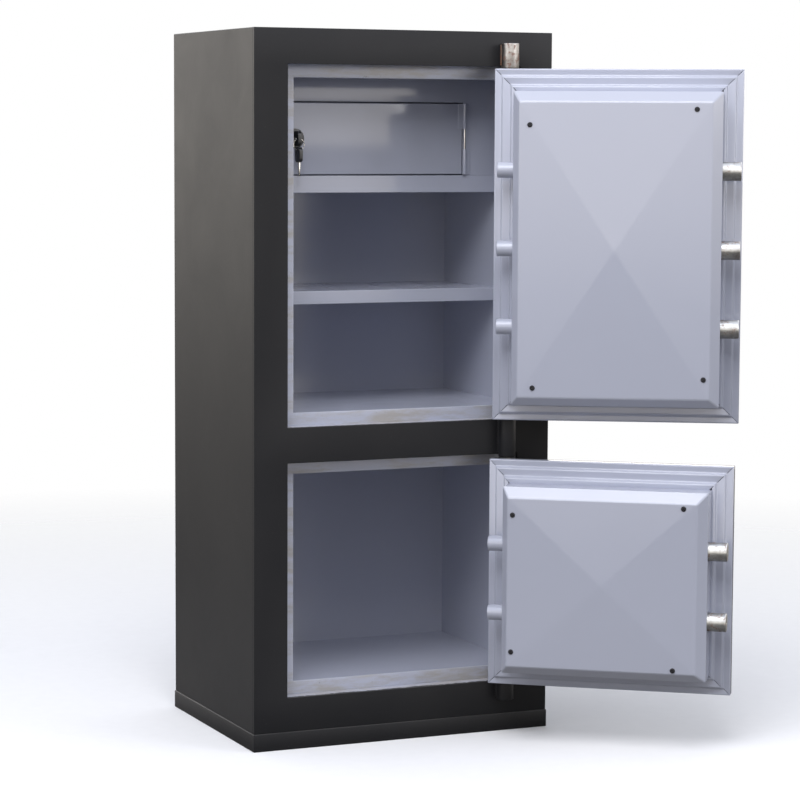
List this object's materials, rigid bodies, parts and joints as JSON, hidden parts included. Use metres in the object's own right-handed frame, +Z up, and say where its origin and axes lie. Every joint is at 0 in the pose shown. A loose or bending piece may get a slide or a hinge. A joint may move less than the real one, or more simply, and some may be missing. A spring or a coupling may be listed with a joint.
{
  "type": "two-door safe",
  "caption": "Upright two-door steel safe standing open, with stepped doors, locking bolts, shelves and a small inner locker with its keys.",
  "frame": {"origin": "centre of the body's footprint, on the floor", "axes": "+X to the right as seen from the front, +Y towards the back, +Z up; both doors stand open at rest"},
  "size_m": [0.8081, 0.7463, 1.231],
  "materials": {
    "charcoal_paint": "satin charcoal enamel",
    "blue_grey_paint": "gloss light blue-grey enamel",
    "bolt_steel": "bare turned steel, lightly oxidised",
    "pin_steel": "bare steel",
    "screw_steel": "blackened steel",
    "handle_chrome": "chrome plate",
    "black_plastic": "black moulded plastic",
    "key_steel": "nickelled steel",
    "insulation": "cast fire-resistant fill"
  },
  "bodies": {
    "cabinet": {"outer_casing": "charcoal_paint", "back_panel": "charcoal_paint", "base_plate": "charcoal_paint", "plinth": "charcoal_paint", "front_frame": "charcoal_paint", "upper_jamb": "blue_grey_paint", "lower_jamb": "blue_grey_paint", "upper_liner": "blue_grey_paint", "lower_liner": "blue_grey_paint", "fire_fill": "insulation", "locker_shelf": "blue_grey_paint", "middle_shelf": "blue_grey_paint", "shelf_brackets": "blue_grey_paint", "locker_front": "blue_grey_paint", "locker_hinge_knuckle": "blue_grey_paint", "locker_hinge_pin": "pin_steel", "frame_hinge_barrels": "charcoal_paint", "hinge_pins": "pin_steel"},
    "upper_door": {"upper_door_plate": "charcoal_paint", "upper_door_rim_top": "blue_grey_paint", "upper_door_rim_bottom": "blue_grey_paint", "upper_door_rim_hinge": "blue_grey_paint", "upper_door_rim_opening": "blue_grey_paint", "upper_door_bolt_box": "blue_grey_paint", "upper_door_cover": "blue_grey_paint", "upper_door_cover_screws": "screw_steel", "upper_door_dead_bolts": "blue_grey_paint", "upper_door_bolt_guides": "pin_steel", "upper_door_lock_case": "pin_steel", "upper_door_knuckles": "charcoal_paint"},
    "upper_bolts": {"upper_door_live_bolts": "bolt_steel", "upper_door_carrier_bar": "pin_steel"},
    "upper_handle": {"upper_door_handle": "handle_chrome", "upper_door_spindle": "pin_steel"},
    "upper_key_cover": {"upper_door_key_cover": "handle_chrome"},
    "lower_door": {"lower_door_plate": "charcoal_paint", "lower_door_rim_top": "blue_grey_paint", "lower_door_rim_bottom": "blue_grey_paint", "lower_door_rim_hinge": "blue_grey_paint", "lower_door_rim_opening": "blue_grey_paint", "lower_door_bolt_box": "blue_grey_paint", "lower_door_cover": "blue_grey_paint", "lower_door_cover_screws": "screw_steel", "lower_door_dead_bolts": "blue_grey_paint", "lower_door_bolt_guides": "pin_steel", "lower_door_lock_case": "pin_steel", "lower_door_knuckles": "charcoal_paint"},
    "lower_bolts": {"lower_door_live_bolts": "bolt_steel", "lower_door_carrier_bar": "pin_steel"},
    "lower_handle": {"lower_door_handle": "handle_chrome", "lower_door_spindle": "pin_steel"},
    "lower_key_cover": {"lower_door_key_cover": "handle_chrome"},
    "locker_door": {"locker_door": "blue_grey_paint", "locker_door_knuckle": "blue_grey_paint", "locker_lock_body": "black_plastic"},
    "locker_key": {"locker_key": "black_plastic", "locker_cam": "key_steel"},
    "key_ring": {"key_ring": "key_steel", "spare_key": "black_plastic"}
  },
  "joints": [
    {"name": "upper_door_swing", "type": "hinge", "parent": "cabinet", "child": "upper_door", "pos_m": [0.189, -0.222, 0.76], "axis": [0, 0, 1], "range_deg": [-150, 20]},
    {"name": "upper_handle_turn", "type": "hinge", "parent": "upper_door", "child": "upper_handle", "pos_m": [0.41606, -0.37272, 0.927], "axis": [-0.5, -0.866, 0], "range_deg": [0, 90]},
    {"name": "upper_bolt_throw", "type": "slide", "parent": "upper_door", "child": "upper_bolts", "axis": [-0.866, 0.5, 0], "range_m": [0, 0.036]},
    {"name": "upper_key_cover_swing", "type": "hinge", "parent": "upper_door", "child": "upper_key_cover", "pos_m": [0.41606, -0.37272, 0.839], "axis": [-0.5, -0.866, 0], "range_deg": [0, 110]},
    {"name": "lower_door_swing", "type": "hinge", "parent": "cabinet", "child": "lower_door", "pos_m": [0.189, -0.222, 0.294], "axis": [0, 0, 1], "range_deg": [-143, 27]},
    {"name": "lower_handle_turn", "type": "hinge", "parent": "lower_door", "child": "lower_handle", "pos_m": [0.396, -0.39927, 0.2895], "axis": [-0.6018, -0.7986, 0], "range_deg": [0, 90]},
    {"name": "lower_bolt_throw", "type": "slide", "parent": "lower_door", "child": "lower_bolts", "axis": [-0.7986, 0.6018, 0], "range_m": [0, 0.036]},
    {"name": "lower_key_cover_swing", "type": "hinge", "parent": "lower_door", "child": "lower_key_cover", "pos_m": [0.396, -0.39927, 0.412], "axis": [-0.6018, -0.7986, 0], "range_deg": [0, 110]},
    {"name": "locker_door_swing", "type": "hinge", "parent": "cabinet", "child": "locker_door", "pos_m": [0.172, -0.0736, 1.0455], "axis": [0, 0, 1], "range_deg": [0, 75]},
    {"name": "locker_key_turn", "type": "hinge", "parent": "locker_door", "child": "locker_key", "pos_m": [-0.152, -0.07, 1.0455], "axis": [0, 1, 0], "range_deg": [0, 90]},
    {"name": "key_ring_swing", "type": "hinge", "parent": "locker_key", "child": "key_ring", "pos_m": [-0.152, -0.09, 1.0455], "axis": [-1, 0, 0], "range_deg": [-6, 25]}
  ],
  "couplings": [
    {"joint": "upper_bolt_throw", "follows": "upper_handle_turn", "m_per_rad": 0.022918},
    {"joint": "lower_bolt_throw", "follows": "lower_handle_turn", "m_per_rad": 0.022918}
  ]
}
